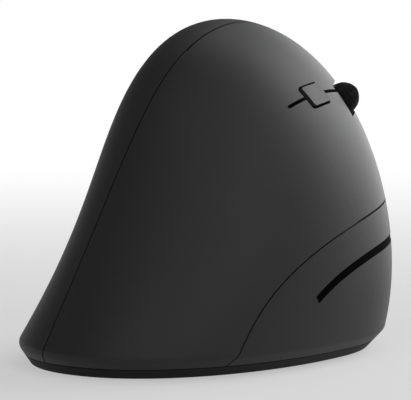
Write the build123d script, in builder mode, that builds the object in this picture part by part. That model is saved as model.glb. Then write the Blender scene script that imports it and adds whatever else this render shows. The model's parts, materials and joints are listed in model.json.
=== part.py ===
from build123d import *
from math import cos, sin, radians, pi
import os

# Vertical mouse for the right hand. Millimetres, +Z up, +Y the way the fingers point,
# +X the finger side. The origin is on the desk under the middle of the housing.
os.makedirs("parts", exist_ok=True)

# Overall form: four side profiles round an upright line through the crown.
# Each profile is a smooth curve through the crown, given by its reach from that line
# at the curve's pull heights.
HEIGHT = 73.0
CROWN_X = 3.0
CROWN_Y = 9.5
ROUNDNESS = 2.1
PULL_HEIGHTS = (HEIGHT, HEIGHT, 59.2, 38.8, 17.6, 0.0)
LEFT_REACH = (0.0, 13.9, 21.9, 17.5, 27.9, 39.5)
RIGHT_REACH = (0.0, 15.3, 29.0, 39.2, 39.8, 33.0)
REAR_REACH = (0.0, 23.6, 31.7, 33.1, 49.6, 58.5)
FRONT_REACH = (0.0, 29.4, 32.3, 37.5, 41.3, 39.0)
FAN_CENTRE = Vector(0, 2, -15)
FAN_EDGE = 10.0
ARCHES = 17
RAYS = 19
PROBE = 0.02

# Walls and gaps
WALL = 2.0
SEAM = 0.3
BUTTON_ROOM = 0.15
RIGHT_ROOM = 0.45
SPLIT_GAP = 0.8
FIT = 0.3
HAIR = 0.05

# Base
FOOT_THICK = 0.6
FLOOR_TOP = 2.5
SHELL_BOTTOM = FLOOR_TOP + 0.15
RIM_Z = 4.6
RIM_INSET = 4.3
RIM_SHARES = (1.0, 0.72, 1.0, 0.75)
RIM_ROUND = 2.0
LIP_TOP = 6.5
LIP_WALL = 1.2
LIP_OUT = -4.9

# Frame of the index and middle fingers: forward, and out of the surface
FINGER_SPOT = (28.0, 8.0, 57.3)
FINGER_FORWARD = (-0.2, 0.942, 0.268)
FINGER_NORMAL = (0.843, 0.026, 0.538)
finger = Plane(origin=FINGER_SPOT, x_dir=FINGER_FORWARD, z_dir=FINGER_NORMAL)
FLEX_U = -9.7
FLEX_GAP = 0.45

# Frame of the thumb's buttons
THUMB_SPOT = (-14.5, 14.0, 50.0)
THUMB_NORMAL = (-0.95, 0.0, 0.3)
thumb = Plane(origin=THUMB_SPOT, x_dir=(0, 1, 0), z_dir=THUMB_NORMAL)

# Scroll wheel
WHEEL_R = 11.0
WHEEL_W = 7.0
WHEEL_U = 16.2
WHEEL_V = -5.6
WHEEL_DEPTH = 11.2
WHEEL_GAP = 0.6
WHEEL_SIDE = 0.35
WHEEL_FREE = 0.4
RIM_R = 8.4
AXLE_R = 1.3
TYRE_ROUND = 3.3
wheel = Plane(origin=finger.from_local_coords((WHEEL_U, WHEEL_V, -WHEEL_DEPTH)),
              x_dir=FINGER_FORWARD, z_dir=finger.y_dir)

# Boards and switches
BOARD_T = 1.6
BOARD_TOP = -15.2
SWITCH_L = 12.8
SWITCH_W = 5.8
SWITCH_H = 6.5
TACT = 6.0
TACT_H = 3.5
PLUNGER_UP = 0.7
PLUNGER_DOWN = 0.8
PLUNGER_R = 0.9
WELL_DEPTH = 1.8
REST_GAP = 0.3
LEFT_SWITCH = (12.0, 6.5)
RIGHT_SWITCH = (9.0, -17.8)
DPI_SWITCH = (-2.5, 2.5)
WHEEL_SWITCH = (-2.5, -8.0)
FAR = 120.0
SKIN_OVER = 5.0

# The drawing starts from the crown's line; the finished pieces are moved by these two
# amounts, so that the origin is under the middle of the housing
MIDDLE_X = 3.53
MIDDLE_Y = 1.38


def blend5(values, q):
    """One point of a smooth curve pulled towards six values, 0 at the crown, 1 at the desk."""
    return (values[0] * (1 - q) ** 5 + 5 * values[1] * q * (1 - q) ** 4
            + 10 * values[2] * q ** 2 * (1 - q) ** 3 + 10 * values[3] * q ** 3 * (1 - q) ** 2
            + 5 * values[4] * q ** 4 * (1 - q) + values[5] * q ** 5)


def halve(is_low, low, high):
    """The place between low and high where is_low turns false."""
    for _ in range(26):
        middle = (low + high) / 2
        if is_low(middle):
            low = middle
        else:
            high = middle
    return low


def reaches(z):
    """Right, left, front and rear reach at one height."""
    q = halve(lambda q: blend5(PULL_HEIGHTS, q) > z, 0.0, 1.3)
    return [blend5(side, q) for side in (RIGHT_REACH, LEFT_REACH, FRONT_REACH, REAR_REACH)]


def level(p):
    """Below zero inside the outer form, above zero outside it."""
    if p.Z >= HEIGHT:
        return 9.0
    right, left, front, rear = reaches(p.Z)
    across = (p.X - CROWN_X) / (right if p.X > CROWN_X else left)
    along = (p.Y - CROWN_Y) / (front if p.Y > CROWN_Y else rear)
    return abs(across) ** ROUNDNESS + abs(along) ** ROUNDNESS - 1


def skin_point(direction, inset):
    """Where a ray from the fan's centre meets the form, set in square to the surface."""
    reach = halve(lambda r: level(FAN_CENTRE + direction * r) < 0, 5.0, 130.0)
    if inset == 0:
        return FAN_CENTRE + direction * reach
    p = FAN_CENTRE + direction * reach
    steps = [Vector(PROBE, 0, 0), Vector(0, PROBE, 0), Vector(0, 0, PROBE)]
    normal = Vector(*[level(p + s) - level(p - s) for s in steps]).normalized()
    return FAN_CENTRE + direction * (reach - inset / normal.dot(direction))


def arch(k, inset):
    """One closed section of the fan, from the rear (first) over the top to the front (last)."""
    turn = radians(180.0 * k / (ARCHES - 1))
    points = []
    for j in range(RAYS):
        lean = radians(FAN_EDGE + (180 - 2 * FAN_EDGE) * j / (RAYS - 1))
        ray = Vector(-cos(lean), -cos(turn) * sin(lean), sin(turn) * sin(lean))
        points.append(skin_point(ray, inset))
    curve = Edge.make_spline(points, parameters=[j / (RAYS - 1) for j in range(RAYS)])
    return Wire([curve, Edge.make_line(points[-1], points[0])])


def outline(grow, taper=0.0):
    """Closed outline of the form at the rim height, moved outwards by grow.

    The taper is added in the rim's own shares: right, left, front and rear.
    """
    sides = [r + grow + taper * share for r, share in zip(reaches(RIM_Z), RIM_SHARES)]
    right, left, front, rear = sides
    points = []
    for k in range(32):
        a = 2 * pi * k / 32
        x = abs(cos(a)) ** (2 / ROUNDNESS) * (right if cos(a) > 0 else -left)
        y = abs(sin(a)) ** (2 / ROUNDNESS) * (front if sin(a) > 0 else -rear)
        points.append((CROWN_X + x, CROWN_Y + y))
    return points


def rim_cone(inset):
    """Cone that gives the foot of the housing its undercut."""
    slope = RIM_INSET / RIM_Z
    with BuildPart() as cone:
        for z in (-1.0, 2 * RIM_Z):
            with BuildSketch(Plane.XY.offset(z)):
                with BuildLine():
                    Spline(*outline(-1.37 * inset, slope * (z - RIM_Z)), periodic=True)
                make_face()
        loft(ruled=True)
    return cone.part


def form(inset):
    """The whole housing as one solid, with its surface set in by inset."""
    with BuildPart() as skirt:
        Box(2 * FAR, 2 * FAR, 2 * RIM_Z - 1, align=(Align.CENTER, Align.CENTER, Align.MIN))
        add(rim_cone(inset), mode=Mode.SUBTRACT)
    with BuildPart() as whole:
        add(Solid.make_loft([arch(k, inset) for k in range(ARCHES)]))
        with Locations((0, 0, FOOT_THICK)):
            Box(2 * FAR, 2 * FAR, FAR, align=(Align.CENTER, Align.CENTER, Align.MIN),
                mode=Mode.INTERSECT)
        add(skirt.part, mode=Mode.SUBTRACT)
        if inset <= 0:
            fillet(whole.edges().sort_by(Axis.Z)[-1], RIM_ROUND)
    return whole.part


outer = form(0)
form_half_wall = form(WALL / 2)
inner = form(WALL)

liner = form(WALL + FIT)


def footprint(grow, z0, z1):
    """An upright prism on the housing's outline, moved outwards by grow."""
    with BuildPart() as prism:
        with BuildSketch(Plane.XY.offset(z0)):
            with BuildLine():
                Spline(*outline(grow), periodic=True)
            make_face()
        extrude(amount=z1 - z0)
    return prism.part


with BuildPart() as housing_wall:
    add(outer)
    add(inner, mode=Mode.SUBTRACT)


def block(x, y, z, mode=Mode.ADD):
    """A block between pairs of limits in the main frame."""
    with Locations(((x[0] + x[1]) / 2, (y[0] + y[1]) / 2, (z[0] + z[1]) / 2)):
        return Box(x[1] - x[0], y[1] - y[0], z[1] - z[0], mode=mode)


def post(spot, radius, z0, z1, mode=Mode.ADD):
    """An upright round post or hole."""
    with Locations((spot[0], spot[1], (z0 + z1) / 2)):
        return Cylinder(radius, z1 - z0, mode=mode)


def seam_x(z):
    """The seam between the thumb shell and the palm shell, seen from the rear."""
    return -7.0 + 0.12 * z + 0.0012 * z * z


def thumb_zone(shift):
    """Everything on the thumb's side of the long seam, moved sideways by shift."""
    with BuildPart() as zone:
        with BuildSketch(Plane.XZ):
            with BuildLine():
                ThreePointArc((seam_x(-2) + shift, -2), (seam_x(40) + shift, 40),
                              (seam_x(80) + shift, 80))
                Polyline((seam_x(80) + shift, 80), (-FAR, 80), (-FAR, -2), (seam_x(-2) + shift, -2))
            make_face()
        extrude(amount=FAR, both=True)
    return zone.part


PANEL_LINE = ((-28.8, -1.0), (-26.6, 4.5), (-22.5, 12.1), (-14.6, 20.4), (-1.4, 27.5),
              (18.2, 32.3), (36.0, 34.4), (60.0, 36.0))


def panel_zone(shift):
    """Everything under the side panel's seam, which is lowered by shift."""
    points = [(y + shift * 0.8, z - shift * 0.8) for y, z in PANEL_LINE]
    with BuildPart() as zone:
        with BuildSketch(Plane.YZ):
            with BuildLine():
                Spline(*points)
                Polyline(points[-1], (points[-1][0], points[0][1]), points[0])
            make_face()
        extrude(amount=FAR, both=True)
    return zone.part


SPLIT_LINE = ((-14.0, 2.3), (2.0, -0.4), (20.0, -5.3), (60.0, -15.5))
SPLIT_END = (FLEX_U - FLEX_GAP, 1.85)


def split_zone(shift):
    """Everything on the index finger's side of the line between the two main buttons."""
    points = [(u, v + shift) for u, v in SPLIT_LINE]
    with BuildPart() as zone:
        with BuildSketch(finger):
            with BuildLine():
                Spline(*points)
                Polyline(points[-1], (points[-1][0], FAR), (points[0][0], FAR), points[0])
            make_face()
        extrude(amount=FAR, both=True)
    return zone.part


def finger_box(u0, u1, v0, v1, w0, w1, mode=Mode.ADD):
    """A block in the finger frame between the given limits."""
    spot = finger.from_local_coords(((u0 + u1) / 2, (v0 + v1) / 2, (w0 + w1) / 2))
    with BuildPart(Plane(origin=spot, x_dir=finger.x_dir, z_dir=finger.z_dir)) as slab:
        Box(u1 - u0, v1 - v0, w1 - w0)
    return add(slab.part, mode=mode)


def finger_pin(u, v, w0, w1, radius, mode=Mode.ADD):
    """A round pin or hole square to the finger surface."""
    spot = finger.from_local_coords((u, v, (w0 + w1) / 2))
    with BuildPart(Plane(origin=spot, x_dir=finger.x_dir, z_dir=finger.z_dir)) as pin:
        Cylinder(radius, w1 - w0)
    return add(pin.part, mode=mode)


# The button between the fingers, in the finger frame
DPI_OUTLINE = ((-3.4, 3.2), (3.4, 1.8), (3.5, -3.1), (-3.7, -1.7))
DPI_GAP = 0.5
DPI_REAR = 0.35
DPI_FRONT = 0.2
DPI_PROUD = 0.4
DPI_SCOOP = ((-6.0, 0.3), (0.5, 0.33), (6.0, 0.59))
DPI_LEAN = 2.5


def dpi_prism(grow, rear=0.0, front=0.0):
    """Outline of the small button through the skin, grown, more at its rear, less at its front."""
    front_left = (DPI_OUTLINE[1][0] - front, DPI_OUTLINE[1][1])
    front_right = (DPI_OUTLINE[2][0] - front, DPI_OUTLINE[2][1])
    rear_right = (DPI_OUTLINE[3][0] - rear, DPI_OUTLINE[3][1])
    rear_left = (DPI_OUTLINE[0][0] - rear, DPI_OUTLINE[0][1])
    with BuildPart() as prism:
        with BuildSketch(finger) as face:
            with BuildLine():
                Polyline(rear_left, front_left, front_right, rear_right, close=True)
            make_face()
            fillet(face.vertices(), 0.5)
            if grow:
                offset(amount=grow)
        extrude(amount=8, both=True)
    return prism.part


# Upper shell on the finger side, before the buttons are parted from it
with BuildPart() as finger_half:
    add(housing_wall.part)
    add(thumb_zone(SEAM / 2), mode=Mode.SUBTRACT)
    add(panel_zone(-SEAM / 2), mode=Mode.SUBTRACT)
    with Locations((0, 0, 0)):
        Box(2 * FAR, 2 * FAR, 2 * SHELL_BOTTOM, mode=Mode.SUBTRACT)

with BuildPart() as palm_shell:
    add(finger_half.part)
    finger_box(SPLIT_END[0], FAR, -FAR, FAR, -FAR, FAR, mode=Mode.SUBTRACT)
    finger_pin(*SPLIT_END, -SKIN_OVER, SKIN_OVER, SPLIT_GAP / 2, mode=Mode.SUBTRACT)
palm_shell.part.label = "palm_shell"

with BuildPart(wheel) as well:
    with Locations((0, 0, WHEEL_FREE / 2)):
        Cylinder(WHEEL_R + WHEEL_GAP, WHEEL_W + 2 * WHEEL_SIDE + WHEEL_FREE)

with BuildPart() as button_half:
    add(finger_half.part)
    finger_box(FLEX_U, FAR, -FAR, FAR, -FAR, FAR, mode=Mode.INTERSECT)
    add(thumb_zone(SEAM / 2 + BUTTON_ROOM), mode=Mode.SUBTRACT)
    add(panel_zone(-SEAM / 2 - BUTTON_ROOM), mode=Mode.SUBTRACT)
    add(well.part, mode=Mode.SUBTRACT)
    add(dpi_prism(DPI_GAP, DPI_REAR, DPI_FRONT), mode=Mode.SUBTRACT)

PUSHER = 3.0
PUSH_TIP = BOARD_TOP + SWITCH_H + PLUNGER_UP + REST_GAP


def pusher(spot):
    """The peg under a main button that meets its switch."""
    u, v = spot
    with BuildPart() as peg:
        finger_box(u - PUSHER / 2, u + PUSHER / 2, v - PUSHER / 2, v + PUSHER / 2, PUSH_TIP, 5)
        add(form_half_wall, mode=Mode.INTERSECT)
    return peg.part


with BuildPart() as left_button:
    add(button_half.part)
    add(split_zone(SPLIT_GAP / 2), mode=Mode.INTERSECT)
    add(pusher(LEFT_SWITCH))
left_button.part.label = "left_button"

with BuildPart() as right_button:
    add(button_half.part)
    add(split_zone(-SPLIT_GAP / 2), mode=Mode.SUBTRACT)
    add(thumb_zone(SEAM / 2 + BUTTON_ROOM + RIGHT_ROOM), mode=Mode.SUBTRACT)
    add(pusher(RIGHT_SWITCH))
right_button.part.label = "right_button"

# Screws from below: three into the shells' bosses, four into the bracket's pillars
THUMB_BOSS = (-25.5, 12.0)
PALM_BOSS = (12.5, -38.4)
PANEL_BOSS = (29.5, 3.0)
PILLARS = ((10.6, 0.0), (23.7, 9.2), (3.8, 23.0), (18.9, 31.7))
BOSS_R = 2.8
WEB = 0.8
PILLAR_R = 2.5
SCREW_R = 1.0
HEAD_R = 1.8
HEAD_SINK = 1.2
SCREW_TOP = 9.0


def boss(spot, top, web_x, web_y):
    """A hollow boss that stands on the floor, with a web into the shell's wall."""
    with BuildPart() as web:
        block(web_x, web_y, (FLOOR_TOP, top))
        add(form_half_wall, mode=Mode.INTERSECT)
    with BuildPart() as stud:
        post(spot, BOSS_R, FLOOR_TOP, top)
        add(form_half_wall, mode=Mode.INTERSECT)
        add(web.part)
        post(spot, SCREW_R + HAIR, FLOOR_TOP, SCREW_TOP + FIT, mode=Mode.SUBTRACT)
    return stud.part


with BuildPart() as palm_whole:
    add(palm_shell.part)
    add(boss(PALM_BOSS, 14.0, (PALM_BOSS[0] - WEB, PALM_BOSS[0] + WEB), (-FAR, PALM_BOSS[1])))
palm_shell = palm_whole
palm_shell.part.label = "palm_shell"

# Thumb shell and its two buttons
THUMB_LENGTH = 17.0
THUMB_HEIGHT = 8.0
THUMB_PITCH = 19.0
THUMB_CORNER = 2.5
THUMB_GAP = 0.4
THUMB_PROUD = 0.6
THUMB_BOARD_TOP = -9.5
THUMB_BOARD = (35.0, 17.0)
STAY_U = 15.0
STAY_V = 6.8
STAY_R = 1.4
PEG_R = 1.5
THUMB_TIP = THUMB_BOARD_TOP + TACT_H + PLUNGER_UP + REST_GAP
proud = form(-THUMB_PROUD)


def thumb_prism(u, grow):
    """Outline of one thumb button through the skin."""
    with BuildPart() as prism:
        with BuildSketch(thumb):
            with Locations((u, 0)):
                RectangleRounded(THUMB_LENGTH + 2 * grow, THUMB_HEIGHT + 2 * grow,
                                 THUMB_CORNER + grow)
        extrude(amount=8, both=True)
    return prism.part


def thumb_pin(u, v, w0, w1, radius):
    """A round post square to the thumb frame."""
    spot = thumb.from_local_coords((u, v, (w0 + w1) / 2))
    with BuildPart(Plane(origin=spot, x_dir=thumb.x_dir, z_dir=thumb.z_dir)) as pin:
        Cylinder(radius, w1 - w0)
    return pin.part


with BuildPart() as stays:
    for u in (-STAY_U, STAY_U):
        for v in (-STAY_V, STAY_V):
            add(thumb_pin(u, v, THUMB_BOARD_TOP, SKIN_OVER, STAY_R))
    add(form_half_wall, mode=Mode.INTERSECT)

with BuildPart() as thumb_shell:
    add(housing_wall.part)
    add(thumb_zone(-SEAM / 2), mode=Mode.INTERSECT)
    Box(2 * FAR, 2 * FAR, 2 * SHELL_BOTTOM, mode=Mode.SUBTRACT)
    for u in (-THUMB_PITCH / 2, THUMB_PITCH / 2):
        add(thumb_prism(u, THUMB_GAP), mode=Mode.SUBTRACT)
    add(stays.part)
    add(boss(THUMB_BOSS, 12.0, (-FAR, THUMB_BOSS[0]), (THUMB_BOSS[1] - WEB, THUMB_BOSS[1] + WEB)))
thumb_shell.part.label = "thumb_shell"


def thumb_button(u):
    """One thumb button: a proud piece of the skin with a peg for its switch."""
    with BuildPart() as peg:
        add(thumb_pin(u, 0, THUMB_TIP, SKIN_OVER, PEG_R))
        add(form_half_wall, mode=Mode.INTERSECT)
    with BuildPart() as key:
        add(proud)
        add(inner, mode=Mode.SUBTRACT)
        add(thumb_prism(u, 0), mode=Mode.INTERSECT)
        add(peg.part)
    return key


back_button = thumb_button(-THUMB_PITCH / 2)
back_button.part.label = "back_button"
forward_button = thumb_button(THUMB_PITCH / 2)
forward_button.part.label = "forward_button"

# Side panel with its sunk strip
STRIP_LINE = ((-7.2, 14.9), (-1.3, 18.6), (4.9, 21.1), (12.9, 23.2), (25.6, 25.0), (38.0, 25.9))
STRIP_WIDTH = 1.85
STRIP_SINK = 0.1


def strip_prism(half):
    """A curved band of the given half width, seen from the side."""
    upper = []
    lower = []
    for k, (y, z) in enumerate(STRIP_LINE):
        before = STRIP_LINE[max(k - 1, 0)]
        after = STRIP_LINE[min(k + 1, len(STRIP_LINE) - 1)]
        run = Vector(after[0] - before[0], after[1] - before[1]).normalized()
        upper.append((y - run.Y * half, z + run.X * half))
        lower.append((y + run.Y * half, z - run.X * half))
    with BuildPart() as band:
        with BuildSketch(Plane.YZ):
            with BuildLine():
                Spline(*upper)
                Line(upper[-1], lower[-1])
                Spline(*lower)
                Line(upper[0], lower[0])
            make_face()
        extrude(amount=FAR)
    return band.part


with BuildPart() as side_panel:
    add(housing_wall.part)
    add(thumb_zone(SEAM / 2), mode=Mode.SUBTRACT)
    add(panel_zone(SEAM / 2), mode=Mode.INTERSECT)
    Box(2 * FAR, 2 * FAR, 2 * SHELL_BOTTOM, mode=Mode.SUBTRACT)
    add(strip_prism(STRIP_WIDTH / 2), mode=Mode.SUBTRACT)
    add(boss(PANEL_BOSS, 10.0, (PANEL_BOSS[0], FAR), (PANEL_BOSS[1] - WEB, PANEL_BOSS[1] + WEB)))
side_panel.part.label = "side_panel"

with BuildPart() as side_inlay:
    add(form(STRIP_SINK))
    add(liner, mode=Mode.SUBTRACT)
    add(strip_prism(STRIP_WIDTH / 2 - HAIR), mode=Mode.INTERSECT)
side_inlay.part.label = "side_inlay"

# Small button between the fingers
DPI_TIP = BOARD_TOP + TACT_H + PLUNGER_UP + REST_GAP
DPI_PEG_R = 1.2
DPI_PEG_SHIFT = 1.0
with BuildPart() as dpi_peg:
    finger_pin(DPI_SWITCH[0], DPI_SWITCH[1] - DPI_PEG_SHIFT, DPI_TIP, SKIN_OVER, DPI_PEG_R)
    add(form_half_wall, mode=Mode.INTERSECT)

# Its face is hollowed for the fingertip by two flats that meet in a shallow valley
lean = radians(DPI_LEAN)
valley = finger.y_dir * cos(lean) - finger.z_dir * sin(lean)
with BuildPart() as dpi_scoop:
    with BuildSketch(Plane(origin=FINGER_SPOT, x_dir=FINGER_FORWARD, z_dir=valley * -1)):
        with BuildLine():
            Polyline(*DPI_SCOOP, (DPI_SCOOP[-1][0], SKIN_OVER), (DPI_SCOOP[0][0], SKIN_OVER),
                     close=True)
        make_face()
    extrude(amount=SKIN_OVER, both=True)

with BuildPart() as dpi_button:
    add(form(-DPI_PROUD))
    add(inner, mode=Mode.SUBTRACT)
    add(dpi_prism(0), mode=Mode.INTERSECT)
    add(dpi_scoop.part, mode=Mode.SUBTRACT)
    add(dpi_peg.part)
dpi_button.part.label = "dpi_button"

# Wheel on its carrier
EAR_GAP = 0.6
EAR_T = 1.5
EAR_LOW = -14.2
EAR_HIGH = -8.8
CROSS_U = (1.2, 4.4)
GUIDE_R = 0.9
GUIDES = ((2.8, WHEEL_V - 2.9), (2.8, WHEEL_V + 2.9))
EAR_IN = WHEEL_W / 2 + EAR_GAP
EAR_OUT = EAR_IN + EAR_T
ENCODER_T = 3.7
RIM_T = 1.3
DISC_T = 2.2

with BuildPart(wheel) as wheel_tyre:
    Cylinder(WHEEL_R, WHEEL_W)
    fillet(wheel_tyre.edges().filter_by(GeomType.CIRCLE), TYRE_ROUND)
    Cylinder(RIM_R + HAIR, WHEEL_W, mode=Mode.SUBTRACT)
wheel_tyre.part.label = "wheel_tyre"

with BuildPart(wheel) as dish:
    Cylinder(RIM_R - RIM_T, WHEEL_W)
    Cylinder(RIM_R - RIM_T, DISC_T, mode=Mode.SUBTRACT)
    Cylinder(AXLE_R + RIM_T, WHEEL_W, mode=Mode.SUBTRACT)

with BuildPart(wheel) as wheel_rim:
    Cylinder(RIM_R, WHEEL_W - 2 * FIT)
    add(dish.part, mode=Mode.SUBTRACT)
    Cylinder(AXLE_R + HAIR, WHEEL_W, mode=Mode.SUBTRACT)
wheel_rim.part.label = "wheel_rim"

AXLE_LOW = -EAR_OUT - ENCODER_T + 0.5
with BuildPart(Plane(origin=wheel.origin, x_dir=wheel.x_dir, z_dir=wheel.z_dir)) as wheel_axle:
    with Locations((0, 0, AXLE_LOW)):
        Cylinder(AXLE_R, EAR_OUT + 0.4 - AXLE_LOW,
                 align=(Align.CENTER, Align.CENTER, Align.MIN))
wheel_axle.part.label = "wheel_axle"

with BuildPart(wheel) as axle_hole:
    Cylinder(AXLE_R + 0.06, 4 * EAR_OUT)

with BuildPart() as wheel_carrier:
    for side in (-1, 1):
        lo, hi = sorted((WHEEL_V + side * EAR_IN, WHEEL_V + side * EAR_OUT))
        finger_box(CROSS_U[0], WHEEL_U + 3, lo, hi, EAR_LOW, EAR_HIGH)
    finger_box(*CROSS_U, WHEEL_V - EAR_OUT, WHEEL_V + EAR_OUT, EAR_LOW, EAR_HIGH)
    finger_box(-4.0, CROSS_U[0], WHEEL_SWITCH[1] - 1.5, WHEEL_SWITCH[1] + 1.5,
               DPI_TIP, EAR_HIGH)
    for u, v in GUIDES:
        finger_pin(u, v, EAR_LOW - 1, EAR_HIGH + 1, GUIDE_R + 0.08, mode=Mode.SUBTRACT)
    add(axle_hole.part, mode=Mode.SUBTRACT)
wheel_carrier.part.label = "wheel_carrier"

with BuildPart() as wheel_encoder:
    finger_box(WHEEL_U - 4, WHEEL_U + 4, WHEEL_V - EAR_OUT - ENCODER_T, WHEEL_V - EAR_OUT,
               EAR_LOW, EAR_HIGH)
    add(axle_hole.part, mode=Mode.SUBTRACT)
wheel_encoder.part.label = "wheel_encoder"

# Slanted button board, and the bracket that carries it
BOARD_U = (-8.0, 22.0)
BOARD_V = (-22.5, 12.0)
CUT_U = 4.8
CUT_V = (WHEEL_V - WHEEL_W / 2 - 1.2, WHEEL_V + WHEEL_W / 2 + 1.2)
PLATE_T = 1.6
BOARD_LOW = BOARD_TOP - BOARD_T

with BuildPart() as button_board:
    finger_box(*BOARD_U, *BOARD_V, BOARD_LOW, BOARD_TOP)
    finger_box(CUT_U, FAR, *CUT_V, BOARD_LOW - 1, BOARD_TOP + 1, mode=Mode.SUBTRACT)
    for u, v in GUIDES:
        finger_pin(u, v, BOARD_LOW - 1, BOARD_TOP + 1, GUIDE_R + FIT, mode=Mode.SUBTRACT)
button_board.part.label = "button_board"

with BuildPart() as plate:
    finger_box(*BOARD_U, *BOARD_V, BOARD_LOW - PLATE_T, BOARD_LOW)
    finger_box(CUT_U, FAR, *CUT_V, -FAR, FAR, mode=Mode.SUBTRACT)

with BuildPart() as board_bracket:
    for spot in PILLARS:
        post(spot, PILLAR_R, FLOOR_TOP, HEIGHT)
    finger_box(-FAR, FAR, -FAR, FAR, -FAR, BOARD_LOW - PLATE_T / 2, mode=Mode.INTERSECT)
    add(plate.part)
    for u, v in GUIDES:
        finger_pin(u, v, BOARD_LOW - 0.5, EAR_HIGH + 1.2, GUIDE_R)
    for spot in PILLARS:
        post(spot, SCREW_R + HAIR, FLOOR_TOP, SCREW_TOP + FIT, mode=Mode.SUBTRACT)
board_bracket.part.label = "board_bracket"


def switch_body(plane, spot, top, length, width, height):
    """A switch on a board, with a round well for its plunger."""
    u, v = spot
    centre = plane.from_local_coords((u, v, top + height / 2))
    with BuildPart(Plane(origin=centre, x_dir=plane.x_dir, z_dir=plane.z_dir)) as case:
        Box(length, width, height)
        with Locations((0, 0, height / 2)):
            Cylinder(PLUNGER_R + 0.1, WELL_DEPTH,
                     align=(Align.CENTER, Align.CENTER, Align.MAX), mode=Mode.SUBTRACT)
    return case


def plunger(plane, spot, case_top):
    """The pin that a button pushes into its switch."""
    u, v = spot
    middle = case_top + (PLUNGER_UP - PLUNGER_DOWN) / 2
    centre = plane.from_local_coords((u, v, middle))
    with BuildPart(Plane(origin=centre, x_dir=plane.x_dir, z_dir=plane.z_dir)) as pin:
        Cylinder(PLUNGER_R, PLUNGER_UP + PLUNGER_DOWN)
    return pin


thumb_spots = {"back": (-THUMB_PITCH / 2, 0.0), "forward": (THUMB_PITCH / 2, 0.0)}
switches = []
for name, plane, spot, top, size in (
        ("left", finger, LEFT_SWITCH, BOARD_TOP, (SWITCH_L, SWITCH_W, SWITCH_H)),
        ("right", finger, RIGHT_SWITCH, BOARD_TOP, (SWITCH_L, SWITCH_W, SWITCH_H)),
        ("dpi", finger, DPI_SWITCH, BOARD_TOP, (TACT, TACT, TACT_H)),
        ("wheel", finger, WHEEL_SWITCH, BOARD_TOP, (TACT, TACT, TACT_H)),
        ("back", thumb, thumb_spots["back"], THUMB_BOARD_TOP, (TACT, TACT, TACT_H)),
        ("forward", thumb, thumb_spots["forward"], THUMB_BOARD_TOP, (TACT, TACT, TACT_H))):
    case = switch_body(plane, spot, top, *size)
    case.part.label = name + "_switch"
    pin = plunger(plane, spot, top + size[2])
    pin.part.label = name + "_plunger"
    switches += [case, pin]

middle = thumb.from_local_coords((0, 0, THUMB_BOARD_TOP - BOARD_T / 2))
with BuildPart(Plane(origin=middle, x_dir=thumb.x_dir, z_dir=thumb.z_dir)) as thumb_board:
    Box(*THUMB_BOARD, BOARD_T)
thumb_board.part.label = "thumb_board"

# Cell bay, door and receiver pocket in the base
CELL_R = 7.25
CELL_X = -2.0
CELL_Z = 10.5
CELL_Y = (-34.0, 16.5)
CELL_NUB = 1.0
BAY_X = (-10.2, 6.2)
BAY_Y = (-37.2, 17.1)
BAY_T = 1.4
BAY_TOP = 13.0
DOOR_OUTLINE = ((-10.5, -36.6), (9.0, -36.6), (22.8, -30.0), (22.8, -9.5), (7.2, -9.5),
                (7.2, 17.3), (-10.5, 17.3))
DOOR_PIN_R = 0.5
DOOR_ROLL = 0.9
DOOR_PIN_OUT = 1.2
PLUG = (12.0, 12.2, 4.5)
CAP = (14.2, 6.2, 6.4)
CAP_Y = -11.6
STORE_X = 15.2
STORE_Z = 6.1
STORE_TOP = 9.0

# Main board, sensor and power switch
MAIN_X = (-24.0, 13.5)
MAIN_Y = (18.9, 46.0)
MAIN_Z = 6.0
STANDOFFS = ((-8.0, 21.5), (-13.0, 35.5), (10.0, 40.5))
STANDOFF_R = 2.2
BOARD_SCREW_R = 0.8
SENSOR = (2.0, 33.5)
WINDOW_R = 3.0
POWER = (-14.5, 23.5)
SLIDE_TRAVEL = 3.0
NUB = (2.2, 3.0)
SLOT_PLAY = 0.3


def door_face(grow):
    """The door's outline in the floor, moved outwards by grow."""
    with BuildSketch(Plane.XY) as face:
        with BuildLine():
            Polyline(*DOOR_OUTLINE, close=True)
        make_face()
        if grow:
            offset(amount=grow, kind=Kind.INTERSECTION)
    return face.sketch


DOOR_PIVOT = (DOOR_OUTLINE[-1][1] - DOOR_ROLL, (FOOT_THICK + FLOOR_TOP) / 2)
with BuildPart() as battery_door:
    with BuildSketch(Plane.XY.offset(DOOR_PIVOT[1] - DOOR_ROLL)):
        add(door_face(0))
    extrude(amount=2 * DOOR_ROLL)
    block((-FAR, FAR), (DOOR_PIVOT[0], FAR), (-FAR, FAR), mode=Mode.SUBTRACT)
    door_x = (DOOR_OUTLINE[-1][0], DOOR_OUTLINE[-2][0])
    for radius, over in ((DOOR_ROLL, 0.0), (DOOR_PIN_R, DOOR_PIN_OUT)):
        with Locations(Location(((door_x[0] + door_x[1]) / 2, *DOOR_PIVOT), (0, 90, 0))):
            Cylinder(radius, door_x[1] - door_x[0] + 2 * over)
battery_door.part.label = "battery_door"

with BuildPart() as bay:
    block((BAY_X[0] - BAY_T, BAY_X[1] + BAY_T), (BAY_Y[0] - BAY_T, BAY_Y[1] + BAY_T),
          (FLOOR_TOP - HAIR, BAY_TOP))
    block((BAY_X[1], STORE_X + CAP[0] / 2 + FIT + BAY_T),
          (CAP_Y - CAP[1] - PLUG[1] - BAY_T - FIT, CAP_Y + BAY_T + FIT),
          (FLOOR_TOP - HAIR, STORE_TOP))
    block(BAY_X, BAY_Y, (0, FAR), mode=Mode.SUBTRACT)
    block((STORE_X - CAP[0] / 2 - FIT, STORE_X + CAP[0] / 2 + FIT),
          (CAP_Y - CAP[1] - PLUG[1] - FIT, CAP_Y + FIT), (0, FAR), mode=Mode.SUBTRACT)
    add(liner, mode=Mode.INTERSECT)

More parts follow.
